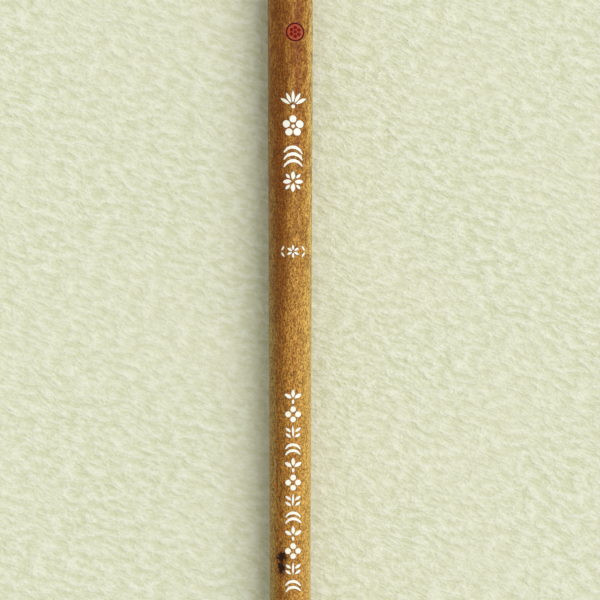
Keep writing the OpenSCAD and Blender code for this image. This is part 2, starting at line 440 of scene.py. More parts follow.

# %% [markdown]
# Close up, the skin shows short dark flecks, which are the ends of fibres, long streaks, fine pale
# threads, and patches where it is redder. It is darker towards the tail, except on the sunlit side,
# and golden towards the hair. The same grain group is placed once for each of these, from coarse to
# fine, and all of them follow the position on the stick, so the pattern stays put from any side. Wide
# tones are laid first and the finest flecks last, as layers of stain would be. Light and shade are
# painted into the colour as well: painted shade darkens the side away from the sun and a stripe along
# it, painted light makes the sunlit side more golden and pales its edge, and a painted reflection of
# the felt lightens the far edge of the shaded side.


# %% Colour of the bamboo
GOLD, OLD_GOLD, SUNLIT = (0.56, 0.275, 0.048), (0.47, 0.205, 0.033), (0.60, 0.37, 0.106)
# The first two colours below are painted shade, for the side away from the sun.
SHADE_BROWN, DEEP_SHADE_BROWN, TAIL_BROWN = (0.25, 0.085, 0.011), (0.14, 0.044, 0.007), (0.25, 0.076, 0.0105)
# The last colour below is a painted reflection of the felt, for the far edge of the shaded side.
STREAK_BROWN, THREAD_GOLD, EDGE_REFLECTION = (0.34, 0.14, 0.024), (0.66, 0.36, 0.088), (0.38, 0.25, 0.08)
# The second colour below is painted shade, for a stripe on the side away from the sun.
RED_STAIN, CORE_SHADE_RED, RIGHT_RED = (0.46, 0.1, 0.02), (0.15, 0.029, 0.003), (0.24, 0.046, 0.003)
# The first colour below is painted light, for a pale rim along the sunlit edge.
RIM_LIGHT_STRAW, BLOT = (0.72, 0.5, 0.17), (0.19, 0.044, 0.005)
FLECK, DOT = (0.15, 0.046, 0.009), (0.09, 0.032, 0.007)
PIT_DARK, PIT_LIGHT = (0.71, 0.71, 0.64), (1.36, 1.47, 1.54)


def bamboo_color(g, where, x, y):
    """The colour of the skin, and its flecks and streaks as masks."""
    def grain(across, along, low, high, detail=3.0):
        return g.group(GRAIN, Position=where, Across=across, Along=along, Low=low, High=high,
                       Detail=detail)["Mask"]

    patches = grain(0.34, 0.09, 0.38, 0.62, 2.0)
    streaks = grain(1.5, 0.07, 0.36, 0.66)
    threads = grain(3.2, 0.35, 0.4, 0.6)
    flecks = grain(3.0, 1.3, 0.48, 0.62, 3.0)
    grit = grain(4.4, 2.4, 0.38, 0.62, 1.0)
    dots = grain(2.2, 1.0, 0.6, 0.68, 3.0)
    blots = grain(0.9, 0.36, 0.46, 0.6, 4.0)
    rusty = grain(0.9, 0.5, 0.6, 0.7, 3.0)

    sway = g.times(g.math("SUBTRACT", patches, 0.5), 1.3)
    sideways = g.math("ADD", x, sway)
    # Painted shade: the next mask darkens the side away from the sun.
    left_shade = g.fade(sideways, 1.1, -2.3)
    tailwards = g.fade(y, VIEW_MIDDLE - 15, VIEW_MIDDLE + 52)
    sunny = g.fade(g.math("SUBTRACT", x, g.times(tailwards, 1.5)), 0.9, 3.4)
    # Painted reflection: the next mask pales the far edge of the shaded side, where the felt
    # reflects.
    edge_reflection = g.times(g.fade(x, -2.4, -3.5), g.math("SUBTRACT", 0.8, g.times(tailwards, 0.8)))
    shaded = g.times(tailwards, g.math("SUBTRACT", 1.0, g.times(sunny, 0.8)))

    def band(middle, half):
        """A lengthwise stripe that sways a little."""
        swaying = g.math("ADD", x, g.times(sway, 0.4))
        away = g.math("ABSOLUTE", g.math("SUBTRACT", swaying, middle))
        return g.fade(away, half, half * 0.3)

    gold = g.mix(patches, GOLD, OLD_GOLD)
    gold = g.mix(g.times(sunny, 0.75), gold, SUNLIT)
    # The side away from the sun is laid over with painted shade in deep browns, streaked by the
    # grain.
    shade_brown = g.mix(streaks, SHADE_BROWN, DEEP_SHADE_BROWN)
    ground = g.mix(g.times(left_shade, 0.9), gold, shade_brown)
    ground = g.mix(g.times(shaded, 0.6), ground, TAIL_BROWN)
    ground = g.mix(g.times(streaks, 0.3), ground, STREAK_BROWN)
    ground = g.mix(g.times(threads, 0.3), ground, THREAD_GOLD)
    # Painted reflection of the felt along the far edge of the shaded side.
    ground = g.mix(edge_reflection, ground, EDGE_REFLECTION)
    hairwards = g.fade(y, VIEW_MIDDLE - 20, VIEW_MIDDLE - 35, 0.0, 0.6)
    reddened = g.times(rusty, g.times(hairwards, g.fade(x, 2.0, 0.6)))
    ground = g.mix(reddened, ground, RED_STAIN)

    # Painted shade: a dark red stripe where the round side turns away from the sun.
    core_shade_band = g.times(band(-2.1, 2.0), g.fade(y, VIEW_MIDDLE - 36, VIEW_MIDDLE + 14, 0.0, 0.52))
    ground = g.mix(core_shade_band, ground, CORE_SHADE_RED)
    right_band = g.times(band(1.45, 1.0), g.fade(y, VIEW_MIDDLE + 15, VIEW_MIDDLE + 50, 0.0, 0.6))
    ground = g.mix(right_band, ground, RIGHT_RED)
    # Painted light: a pale straw rim along the edge on the sunlit side.
    rim = g.times(g.fade(x, 2.9, 4.1), g.fade(y, VIEW_MIDDLE - 20, VIEW_MIDDLE + 40, 0.25, 0.5))
    ground = g.mix(rim, ground, RIM_LIGHT_STRAW)

    blotched = g.times(blots, g.fade(y, VIEW_MIDDLE - 36, VIEW_MIDDLE + 50, 0.1, 0.64))
    ground = g.mix(blotched, ground, BLOT)
    strength = g.math("SUBTRACT", 0.66, g.times(sunny, 0.2))
    speckled = g.mix(g.times(flecks, strength), ground, FLECK)
    speckled = g.mix(g.times(dots, strength), speckled, DOT)
    pitted = g.mix(grit, PIT_DARK, PIT_LIGHT)
    speckled = g.mix(1.0, speckled, pitted, "MULTIPLY")
    return speckled, flecks, streaks


print("bamboo colour ready")

# %% [markdown]
# The finished skin adds the scar, with a brown halo and a ragged edge, and a faint red wash round
# the seal, where paint soaked into the varnish. Both only lie on top of the stick. The walls of the
# cuts show raw fibre, made very dark with painted shade, so they get a material of their own.


# %% Bamboo materials
SCAR_HALO, SCAR_BLACK, SEAL_WASH = (0.2, 0.065, 0.014), (0.022, 0.008, 0.004), (0.43, 0.062, 0.032)
# Both colours below are dark with painted shade, for the walls of the cuts.
CUT_SHADE_DEEP, CUT_SHADE_PALE = (0.075, 0.034, 0.012), (0.16, 0.075, 0.026)


def oval(g, x, y, middle, half):
    """0 in the middle of an oval on the skin and 1 on its rim, growing outwards."""
    across = g.math("DIVIDE", g.math("SUBTRACT", x, middle[0]), half[0])
    along = g.math("DIVIDE", g.math("SUBTRACT", y, middle[1]), half[1])
    return g.math("SQRT", g.math("ADD", g.math("POWER", g.math("ABSOLUTE", across), 2.0),
                                 g.math("POWER", g.math("ABSOLUTE", along), 2.0)))


def bamboo_skin():
    mat, g, shader = material("bamboo_skin", Roughness=0.5)
    shader.inputs["Specular IOR Level"].default_value = 0.12
    shader.inputs["Sheen Weight"].default_value = 0.22
    shader.inputs["Sheen Roughness"].default_value = 0.3
    shader.inputs["Sheen Tint"].default_value = (0.9, 0.95, 0.62, 1)
    where, (x, y, z) = g.place()
    color, flecks, streaks = bamboo_color(g, where, x, y)
    upper = g.fade(z, axis_z, axis_z + 0.5)

    edge = g.noise(where, 2.0, 3.0, 0.7)
    nearest = g.math("MINIMUM", *(oval(g, x, y, *lobe) for lobe in SCAR_LOBES))
    ragged = g.math("ADD", nearest, g.times(edge, 3.0))
    halo = g.times(g.fade(ragged, 3.5, 2.4, 0.0, 0.75), upper)
    scar = g.times(g.fade(ragged, 2.7, 2.2), upper)
    color = g.mix(halo, color, SCAR_HALO)
    color = g.mix(scar, color, SCAR_BLACK)

    smear = g.math("ADD", oval(g, x, y, (SEAL[0] - 0.12, SEAL[1]), (SEAL_R, SEAL_R)),
                   g.times(edge, 0.4))
    wash = g.times(g.fade(smear, 1.38, 1.1, 0.0, 0.85), upper)
    color = g.mix(wash, color, SEAL_WASH)

    g.feed(shader.inputs["Base Color"], color)
    g.feed(shader.inputs["Roughness"], g.fade(flecks, 0.0, 1.0, 0.42, 0.6))
    height = g.math("ADD", g.times(flecks, -0.5), g.times(streaks, 0.5))
    bump(g, shader, height, 0.05, 0.5)
    return mat


def bamboo_cut_shade():
    """Fresh walls of the cutting, made very dark with painted shade."""
    mat, g, shader = material("bamboo_cut_shade", Roughness=0.8)
    where, _ = g.place()
    fibres = g.group(GRAIN, Position=where, Across=6.0, Along=0.8, Low=0.4, High=0.6)["Mask"]
    g.feed(shader.inputs["Base Color"], g.mix(fibres, CUT_SHADE_DEEP, CUT_SHADE_PALE))
    bump(g, shader, fibres, 0.03, 0.5)
    return mat


BAMBOO_SKIN, BAMBOO_CUT_SHADE = bamboo_skin(), bamboo_cut_shade()
print("bamboo materials made")

# %% [markdown]
# ## Paint
#
# The marks are filled with matt paint, cream in the ornament and red in the seal. All three paints
# share the mottle group and differ in colour, unevenness and shine, so one function makes them.


# %% Paints
def paint(name, color, thin, amount, shine=0.25):
    mat, g, shader = material(name, Roughness=0.7)
    shader.inputs["Specular IOR Level"].default_value = shine
    where, _ = g.place()
    out = g.group(MOTTLE, Position=where, Color=(*color, 1), Thin=(*thin, 1), Amount=amount)
    g.feed(shader.inputs["Base Color"], out["Color"])
    bump(g, shader, out["Height"], 0.03, 0.6)
    return mat


CREAM = paint("cream_paint", (0.95, 0.94, 0.90), (0.8, 0.7, 0.55), 0.45)
RED = paint("red_paint", (0.20, 0.006, 0.004), (0.11, 0.005, 0.003), 0.8, 0.1)
# The seal's ring is red paint made nearly black with painted shade of its narrow groove.
RING_SHADE_RED = paint("ring_paint_shaded", (0.045, 0.006, 0.003), (0.13, 0.008, 0.004), 0.6, 0.1)
print("paints made")

# %% [markdown]
# ## Horn and bone
#
# Horn is nearly black and polished, with brown streaks that show where light catches it. Bone is
# cream with short fine pores. Both are drawn by the grain group, long and soft in horn and short
# and sharp in bone, and bone lets a little light in below its surface.


# %% Horn and bone
def horn():
    mat, g, shader = material("horn", Roughness=0.22)
    shader.inputs["Specular IOR Level"].default_value = 0.4
    shader.inputs["Coat Weight"].default_value = 0.25
    shader.inputs["Coat Roughness"].default_value = 0.06
    where, _ = g.place()
    clouds = g.group(GRAIN, Position=where, Across=0.22, Along=0.05, Low=0.42, High=0.66)["Mask"]
    streaks = g.group(GRAIN, Position=where, Across=0.9, Along=0.045, Low=0.48, High=0.68)["Mask"]
    fine = g.group(GRAIN, Position=where, Across=4.0, Along=0.12, Low=0.42, High=0.68)["Mask"]
    color = g.mix(clouds, (0.008, 0.006, 0.006), (0.026, 0.014, 0.009))
    color = g.mix(g.times(streaks, 0.6), color, (0.05, 0.029, 0.018))
    color = g.mix(g.times(fine, 0.25), color, (0.045, 0.031, 0.022))
    g.feed(shader.inputs["Base Color"], color)
    g.feed(shader.inputs["Roughness"], g.fade(fine, 0.0, 1.0, 0.17, 0.36))
    bump(g, shader, fine, 0.025, 0.35)
    return mat


def bone():
    mat, g, shader = material("bone", Roughness=0.38)
    shader.inputs["Subsurface Weight"].default_value = 0.15
    shader.inputs["Subsurface Scale"].default_value = 0.001
    shader.inputs["Coat Weight"].default_value = 0.2
    where, _ = g.place()
    pores = g.group(GRAIN, Position=where, Across=5.0, Along=1.2, Low=0.62, High=0.72)["Mask"]
    cloud = g.group(GRAIN, Position=where, Across=0.5, Along=0.3, Low=0.35, High=0.7)["Mask"]
    color = g.mix(cloud, (0.80, 0.73, 0.56), (0.72, 0.62, 0.43))
    color = g.mix(g.times(pores, 0.55), color, (0.42, 0.29, 0.15))
    g.feed(shader.inputs["Base Color"], color)
    bump(g, shader, g.math("SUBTRACT", 1.0, pores), 0.03, 0.5)
    return mat


HORN, BONE = horn(), bone()
print("horn and bone made")

# %% [markdown]
# ## The hidden pieces
#
# The plug, the resin and the two bindings of thread are hidden inside. Their CAD meshes are good
# enough to stay, but they get a finish of their own all the same, because the brush may be taken
# apart. Thread is twisted, so slanted stripes follow the angle round the axis.


# %% Plug, resin and thread
def hardwood():
    mat, g, shader = material("hardwood", Roughness=0.65)
    where, _ = g.place()
    rings = g.group(GRAIN, Position=where, Across=1.8, Along=0.05, Low=0.35, High=0.65)["Mask"]
    g.feed(shader.inputs["Base Color"], g.mix(rings, (0.58, 0.39, 0.19), (0.44, 0.26, 0.11)))
    bump(g, shader, rings, 0.03, 0.4)
    return mat


def resin():
    mat, g, shader = material("resin", Roughness=0.15)
    where, _ = g.place()
    cloud = g.fade(g.noise(where, 0.6, 3.0), 0.35, 0.7)
    g.feed(shader.inputs["Base Color"], g.mix(cloud, (0.42, 0.16, 0.025), (0.22, 0.07, 0.012)))
    bump(g, shader, cloud, 0.05, 0.3)
    return mat


def waxed_thread():
    """Twisted thread: slanted stripes across each turn."""
    mat, g, shader = material("waxed_thread", Roughness=0.6)
    where, (x, y, z) = g.place()
    around = g.math("ARCTAN2", x, g.math("SUBTRACT", z, axis_z))
    twist = g.math("SINE", g.math("ADD", g.times(around, 60.0),
                                  g.times(y, 14.0)))
    strand = g.fade(twist, -0.9, 0.7)
    g.feed(shader.inputs["Base Color"], g.mix(strand, (0.45, 0.36, 0.22), (0.79, 0.72, 0.56)))
    bump(g, shader, strand, 0.04, 0.7)
    return mat


def dress(node, finish):
    """Gives a CAD node that stays in view its finish."""
    slots = frame["nodes"][node].data.materials
    slots.clear()
    slots.append(finish)


THREAD = waxed_thread()
for hidden, finish in (("front_plug", hardwood()), ("root_resin", resin()),
                       ("core_binding", THREAD), ("tuft_binding", THREAD)):
    dress(hidden, finish)
print("hidden pieces dressed")

# %% [markdown]
# ## Turned pieces
#
# The horn and bone pieces were turned on a lathe, so each is an outline spun about the axis. A
# plain outline would have knife edges that catch no light, so a helper first rounds each corner of
# the outline with a small arc, as a turner would with fine paper.


# %% Rounded outlines
def rounded(outline, radius, closed=True, steps=4):
    """Replaces each corner of an outline of (along, radius) points by a small arc of points."""
    made = []
    for i, corner in enumerate(outline):
        if not closed and i in (0, len(outline) - 1):
            made.append(tuple(corner))
            continue
        corner = Vector(corner)
        to_before = Vector(outline[i - 1]) - corner
        to_after = Vector(outline[(i + 1) % len(outline)]) - corner
        cut = min(radius, to_before.length * 0.45, to_after.length * 0.45)
        start = corner + to_before.normalized() * cut
        end = corner + to_after.normalized() * cut
        for k in range(steps + 1):
            t = k / steps
            made.append(tuple(start * (1 - t) ** 2 + corner * 2 * t * (1 - t) + end * t * t))
    return made


print("4 corners become", len(rounded([(0, 1), (0, 2), (1, 2), (1, 1)], 0.1)), "points")

# %% [markdown]
# A Screw modifier could spin an outline, but spinning it in code, with the faces in even rings,
# gives full control of the points on the axis and leaves no stray faces. AROUND is the number of
# steps in a full turn, and every round piece uses the same one.

# %% Spinning
AROUND = 96
NO_RADIUS = 1e-6


def polar(angle, along, r):
    """A point of the brush in mm. The angle starts at the top and grows towards +X."""
    return r * math.sin(angle), along, axis_z + r * math.cos(angle)


def add_ring(points, along, r):
    """Adds one ring of points, or a single point where r is 0, and returns their numbers."""
    first = len(points)
    if r < NO_RADIUS:
        points.append(polar(0, along, 0))
        return [first] * AROUND
    points += [polar(2 * math.pi * k / AROUND, along, r) for k in range(AROUND)]
    return list(range(first, first + AROUND))


def bands(rows):
    """Faces between neighbouring rings, facing out where the rings run towards the tail."""
    made = []
    for a, b in zip(rows, rows[1:]):
        for k in range(AROUND):
            n = (k + 1) % AROUND
            face = tuple(dict.fromkeys((a[k], a[n], b[n], b[k])))
            if len(face) > 2:
                made.append(face)
    return made


def mesh_object(name, points, faces, materials):
    """A new smooth object from points in mm, with its materials."""
    mesh = bpy.data.meshes.new(name)
    mesh.from_pydata([tuple(c * MM for c in p) for p in points], [], faces)
    for finish in materials:
        mesh.materials.append(finish)
    mesh.shade_smooth()
    made = bpy.data.objects.new(name, mesh)
    bpy.context.scene.collection.objects.link(made)
    return made


def spun(name, outline, finish, closed=True):
    """Spins an outline about the axis. Seen with the tail on the right, it runs clockwise."""
    points = []
    rows = [add_ring(points, along, r) for along, r in outline]
    if closed:
        rows.append(rows[0])
    return mesh_object(name, points, bands(rows), [finish])


def ease(t):
    return (1 - math.cos(math.pi * t)) / 2


def settle(piece, slot, *nodes, body="handle"):
    """Hides the CAD nodes that a finished piece stands in for, and puts it on its body. The slot is
    not used.
    """
    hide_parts(*nodes)
    if body:
        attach(piece, body)
    size = piece.dimensions / MM
    print(piece.name, len(piece.data.polygons), "faces,", [round(v, 2) for v in size], "mm")


print("one turn has", AROUND, "steps")

# %% [markdown]
# ## Collars
#
# A thin bone collar covers the joint between horn and bamboo at each end. It is a plain ring with
# soft rims and one fine groove turned round its middle.

# %% Collars
TENON_R, SPIGOT_R, GLUE = 3.0, 2.5, 0.03


def collar(node, hole_r):
    start, end = ends(node)
    r = widest(node)
    middle, groove, rim = (start + end) / 2, 0.12, 0.3
    outline = [(start, hole_r), (start, r - rim / 2), (start + rim, r), (middle - groove, r),
               (middle, r - groove), (middle + groove, r), (end - rim, r), (end, r - rim / 2),
               (end, hole_r)]
    settle(spun(node + "_bone", rounded(outline, 0.14), BONE), "bone", node)


collar("front_collar", TENON_R + GLUE)
collar("tail_collar", SPIGOT_R + GLUE)

# %% [markdown]
# ## Ferrule
#
# The ferrule is a cup of horn. The hair is glued in at its mouth, and the bamboo's tenon goes into
# a socket behind. Outside it has a straight band and then eases down to the collar, where it stands
# PROUD of the bone. A turner leaves two fine lines where the band ends, and they show how round the
# piece is.

# %% Ferrule
LIP, BAND, CUP_R, CUP_DEPTH, SOCKET_FROM = 0.6, 7.0, 4.5, 11.0, 14.97
PROUD = 0.1


def line_cut(start, r, depth=0.13):
    """A fine V turned into a straight stretch of outline."""
    return [(start, r), (start + depth, r - depth), (start + 2 * depth, r)]


def ferrule_outline():
    back_r = widest("front_collar") + PROUD
    taper_from = LIP + BAND
    length = ferrule_back - mouth
    taper = [(taper_from + (length - taper_from) * t, rest_r + (back_r - rest_r) * ease(t))
             for t in np.linspace(0, 1, 25)]
    marks = line_cut(taper_from - 1.7, rest_r) + line_cut(taper_from - 0.9, rest_r)
    outline = [(CUP_DEPTH, 0), (CUP_DEPTH, CUP_R), (0, CUP_R), (0, rest_r - LIP),
               (LIP / 3, rest_r - LIP / 4), (LIP, rest_r), *marks, *taper,
               (length, TENON_R + GLUE), (SOCKET_FROM, TENON_R + GLUE), (SOCKET_FROM, 0)]
    return [(mouth + along, r) for along, r in outline]


ferrule = spun("ferrule_horn", rounded(ferrule_outline(), 0.12, closed=False), HORN, closed=False)
settle(ferrule, "horn", "ferrule")

# %% [markdown]
# ## Tail cap
#
# The cap is one piece of horn: a spigot inside the bamboo, a swelling that the brush rests on, a
# waist, and a knob. The hanging hole goes straight across the knob. It is cut with a Boolean, and
# the cutter flares at both ends, because a cord would wear through on a sharp rim.

# %% Tail cap
SWELL_AT, KNOB_FROM, KNOB_TO = 4.0, 9.8, 14.0
KNOB_R, CROWN_FALL = 3.5, 1.6


def cap_outline():
    base_r, length = widest("tail_collar") + PROUD, tail - cap_from
    swell = [(SWELL_AT * t, base_r + (rest_r - base_r) * math.sin(math.pi / 2 * t))
             for t in np.linspace(0, 1, 16)]
    fall = [(SWELL_AT + (KNOB_FROM - SWELL_AT) * t, rest_r + (KNOB_R - rest_r) * ease(t))
            for t in np.linspace(0, 1, 24)[1:]]
    crown = [(KNOB_TO + (length - KNOB_TO) * math.sin(math.pi / 2 * t),
              KNOB_R - CROWN_FALL * (1 - math.cos(math.pi / 2 * t))) for t in np.linspace(0, 1, 12)]
    neck = line_cut(KNOB_FROM + 0.25, KNOB_R)
    outline = [(spigot_from - cap_from, 0), (spigot_from - cap_from, SPIGOT_R), (0, SPIGOT_R),
               *swell, *fall, *neck, *crown, (length, 0)]
    return [(cap_from + along, r) for along, r in outline]


def hole_cutter(middle, r, half, flare):
    """A spindle along X that is wider at both ends."""
    profile = [(-half - 1, r + flare + 1), (-half, r + flare * 0.6), (-half + flare * 1.6, r),
               (half - flare * 1.6, r), (half, r + flare * 0.6), (half + 1, r + flare + 1)]
    around, points, faces = 48, [], []
    for along, ring_r in rounded(profile, 0.4, closed=False):
        for k in range(around):
            a = 2 * math.pi * k / around
            points.append((along, middle + ring_r * math.cos(a), axis_z + ring_r * math.sin(a)))
    rings = len(points) // around
    for j in range(rings - 1):
        for k in range(around):
            n = (k + 1) % around
            faces.append((j * around + k, j * around + n, (j + 1) * around + n, (j + 1) * around + k))
    faces += [tuple(reversed(range(around))), tuple(range(len(points) - around, len(points)))]
    return mesh_object("hole_cutter", points, faces, [])


def cut_out(piece, cutter):
    """Subtracts the cutter from the piece for good, and removes the cutter."""
    modifier = piece.modifiers.new("hole", "BOOLEAN")
    modifier.object, modifier.operation, modifier.solver = cutter, "DIFFERENCE", "EXACT"
    shaped = piece.evaluated_get(bpy.context.evaluated_depsgraph_get())
    mesh = bpy.data.meshes.new_from_object(shaped)
    piece.modifiers.clear()
    piece.data = mesh
    mesh.set_sharp_from_angle(angle=math.radians(40))
    bpy.data.objects.remove(cutter)


cap = spun("tail_cap_horn", rounded(cap_outline(), 0.12, closed=False), HORN, closed=False)
hole_y, hole_r = hole["pos_m"][1] / MM, hole["dims"]["r_mm"]
cut_out(cap, hole_cutter(hole_y, hole_r, hole["dims"]["length_mm"] / 2, 0.25))
settle(cap, "horn", "tail_cap")

# %% [markdown]
# ## The ornament as flat shapes
#
# The ornament is drawn flat first, in millimetres, as closed outlines that run anticlockwise. It
# uses four simple shapes: leaf, round petal, crescent and ring. A real carver never cuts two leaves
# quite alike, so each shape is turned and scaled by a small random amount. The amounts are seeded,
# which gives the same brush each time.

# %% Shapes
def leaf(length, width, parts=11):
    """A pointed leaf that grows along +Y from the origin."""
    r = (length ** 2 + width ** 2) / (4 * width)
    half = math.asin(length / 2 / r)
    right = [(r * math.cos(a) - r + width / 2, length / 2 + r * math.sin(a))
             for a in np.linspace(-half, half, parts, endpoint=False)]
    return right + [(-x, length - y) for x, y in right]


def circle(r, parts=22):
    return [(r * math.cos(a), r * math.sin(a))
            for a in (2 * math.pi * k / parts for k in range(parts))]


def crescent(r, thickness, parts=16):
    """A crescent that opens downwards, its top at the origin."""
    outer = math.asin(0.25)
    inner = math.asin(0.25 + thickness / r)
    over = [(r * math.cos(a), r * math.sin(a) - r)
            for a in np.linspace(outer, math.pi - outer, parts)]
    under = [(r * math.cos(a), r * math.sin(a) - r - thickness)
             for a in np.linspace(math.pi - inner, inner, parts)]
    return over + under


def shifted(shapes, x, y):
    return [[(a + x, b + y) for a, b in shape] for shape in shapes]


def turned(shapes, degrees):
    c, s = math.cos(math.radians(degrees)), math.sin(math.radians(degrees))
    return [[(a * c - b * s, a * s + b * c) for a, b in shape] for shape in shapes]


def fan(leaves, first, turn, length, width, gap):
    made = []
    for i in range(leaves):
        made += turned(shifted([leaf(length, width)], 0, gap), first + i * turn)
    return made


def blossom(petals, reach, petal_r):
    made = []
    for i in range(petals):
        made += turned(shifted([circle(petal_r)], 0, reach), i * 360 / petals)
    return made


print("a leaf has", len(leaf(2, 0.7)), "points and a petal", len(circle(0.5)))

# %% [markdown]
# Four large marks, one between arrowheads, twelve small marks in four kinds and a round seal make
# up the ornament. Each stands for a plant or for water, so it reads as decoration and not as
# writing.

# %% Marks
def spray():
    return shifted(fan(5, -58, 29, 2.5, 0.7, 0.6), 0, -1.5) + shifted([circle(0.42)], 0, -1.6)


def large_blossom():
    return blossom(5, 1.4, 0.76) + [circle(0.4)]


def waves():
    return [shape for i in range(3) for shape in shifted([crescent(2.1, 0.72)], 0, 1.7 - i * 1.35)]


def star():
    return fan(4, 0, 90, 1.8, 0.9, 0.3) + fan(4, 45, 90, 1.3, 0.62, 0.85)


def framed():
    made = fan(6, 0, 60, 1.15, 0.52, 0.22)
    for side in (-1, 1):
        for slant in (32, 148):
            made += shifted(turned(shifted([leaf(1.25, 0.42)], 0, 0.12), side * slant),
                            side * 2.45, 0)
    return made


def sprig():
    return (shifted(fan(3, -58, 58, 1.7, 0.8, 0.3), 0, -0.4)
            + shifted(turned([leaf(1.0, 0.62)], 180), 0, -0.4))


def bud():
    return blossom(4, 1.0, 0.6)


def twig():
    made = shifted([leaf(2.8, 0.5)], 0, -1.4)
    for side in (-1, 1):
        for height in (-1.2, -0.1):
            made += shifted(turned([leaf(1.45, 0.62)], side * -56), side * 0.36, height)
    return made


def ripples():
    return [shape for i in range(2) for shape in shifted([crescent(1.7, 0.64)], 0, 1.1 - i * 1.15)]


print("shapes in each small mark:", [len(mark()) for mark in (sprig, bud, twig, ripples)])

# %% [markdown]
# The marks stand in one column. Each shape is now turned, scaled and moved by hand, so to speak,
# and its edge wavers a little. The random numbers are drawn in a fixed order from one seed. The
# inner circle of the seal's ring runs the other way round, because it is a hole.

# %% Place the marks
MARK_X = 0.6
LARGE_PITCH, SMALL_PITCH = 5.47, 3.38
hand = random.Random(11)


def by_hand(shapes, turn=3.0, scale=0.03, shift=0.02, wobble=0.1):
    """Turns, scales and moves each shape a little about its middle, and makes its edge waver."""
    made = []
    for shape in shapes:
        mx, my = (sum(c) / len(shape) for c in zip(*shape))
        near = turned(shifted([shape], -mx, -my), hand.uniform(-turn, turn))[0]
        s = 1 + hand.uniform(-scale, scale)
        dx, dy = hand.uniform(-shift, shift), hand.uniform(-shift, shift)
        seed = hand.uniform(0, 100)
        swell = [s * (1 + wobble * noise.noise(Vector((x * 3.2, y * 3.2, seed)))) for x, y in near]
        made.append([(x * k + mx + dx, y * k + my + dy) for k, (x, y) in zip(swell, near)])
    return made


seal_shapes = shifted(by_hand(blossom(6, 0.85, 0.38) + [circle(0.34)], 3, 0.02, 0.012, 0.05), *SEAL)
seal_ring = shifted([circle(SEAL_R, 60), list(reversed(circle(SEAL_R - SEAL_RING, 52)))], *SEAL)
upper_shapes, lower_shapes = [], []
for i, mark in enumerate((spray, large_blossom, waves, star)):
    upper_shapes += shifted(by_hand(mark()), MARK_X, VIEW_MIDDLE + 39.8 - i * LARGE_PITCH)
upper_shapes += shifted(by_hand(framed()), MARK_X, VIEW_MIDDLE + 9.6)
for i in range(12):
    mark = (sprig, bud, twig, ripples)[i % 4]
    lower_shapes += shifted(by_hand(mark()), MARK_X, VIEW_MIDDLE - 19.2 - i * SMALL_PITCH)
print(len(upper_shapes), "large shapes,", len(lower_shapes), "small,", len(seal_shapes), "in seal")

# %% [markdown]
# ## The skin of the bamboo
#
# A bamboo stem is never a perfect cone. Its radius wavers by a few hundredths of a millimetre, and
# beside the ornament a scar has left a dent. By the collars it is calm over CALM_LENGTH, so that
# they fit. One function gives the radius at any angle and place.
# The mesh, its normals and the paint all use it, so they agree everywhere.

# %% Radius of the skin
FRONT_R, TAIL_R = 3.95, 4.7
UNEVEN = 0.05
DENT = 0.14
SCAR_R, SCAR_REACH, SCAR_RAGGED = 4.1, 2, 0.35
SCAR_EDGE, SCAR_SLOPE = 1.15, 0.5
CALM_LENGTH = 3


def scar_depth(angle, along):
    r = SCAR_R
    if math.cos(angle) < 0:
        return 0.0
    across = (r * math.sin(angle) - SCAR[0]) / SCAR_HALF[0]
    away = math.hypot(across, (along - SCAR[1]) / SCAR_HALF[1])
    if away > SCAR_REACH:
        return 0.0
    ragged = away + SCAR_RAGGED * noise.noise(Vector((r * angle * 1.6, along * 1.2, 3)))
    return DENT * max(0.0, min(1.0, (SCAR_EDGE - ragged) / SCAR_SLOPE))


def skin_r(angle, along):
    t = (along - skin_from) / (skin_to - skin_from)
    way = Vector((math.sin(angle) * 1.3, math.cos(angle) * 1.3, along * 0.045))
    fine = Vector((math.sin(angle) * 4, math.cos(angle) * 4, along * 0.12))
    calm = max(0.0, min(1.0, (along - skin_from) / CALM_LENGTH, (skin_to - along) / CALM_LENGTH))
    wavy = UNEVEN * noise.noise(way) + UNEVEN * 0.35 * noise.noise(fine)
    return FRONT_R + (TAIL_R - FRONT_R) * t + wavy * calm - scar_depth(angle, along)


def skin_normal(angle, along):
    """Which way the skin faces, from how its radius changes round and along."""
    step, reach = 0.01, 0.1
    r = skin_r(angle, along)
    round_slope = (skin_r(angle + step, along) - skin_r(angle - step, along)) / (2 * step)
    long_slope = (skin_r(angle, along + reach) - skin_r(angle, along - reach)) / (2 * reach)
    s, c = math.sin(angle), math.cos(angle)
    ahead = Vector((round_slope * s + r * c, 0, round_slope * c - r * s))
    lengthwise = Vector((long_slope * s, 1, long_slope * c))
    return ahead.cross(lengthwise).normalized()


print("radius by the collars", round(skin_r(0, skin_from), 2), round(skin_r(0, skin_to), 2))

# %% [markdown]
# ## Cutting the shapes into the skin
#
# A Boolean with ninety small cutters would be slow and leave slivers. The skin of a round stick can
# be unrolled flat instead. In the flat sheet the outlines and a grid of points are joined into
# triangles that never cross an outline, which is called a constrained Delaunay triangulation. The
# sheet is then rolled up again. Triangles inside an outline become the bottom of the cut, and a
# strip of faces joins them to the skin. The paint uses the same triangles. First come the outlines
# and the grid points. No point lies closer to an outline than CLEAR, and a finer grid covers the
# scar.

# %% The panel in the flat
ROWS = 178
SIDE = 14
FLAT_R = 4.33
CLEAR = 0.13
PANEL_FROM, PANEL_TO = VIEW_MIDDLE - 60.5, VIEW_MIDDLE + 57.5
SEAL_EDGE, RING_HOLE = 0, 1
turn_step = 2 * math.pi / AROUND
row_step = (skin_to - skin_from) / ROWS
row_low = int((PANEL_FROM - skin_from) / row_step)
row_high = int((PANEL_TO - skin_from) / row_step)


def unrolled(shape):
    """An outline drawn on top of the stick, moved to the flat sheet."""
    return [(FLAT_R * math.asin(x / skin_r(math.asin(x / FLAT_R), y)), y) for x, y in shape]


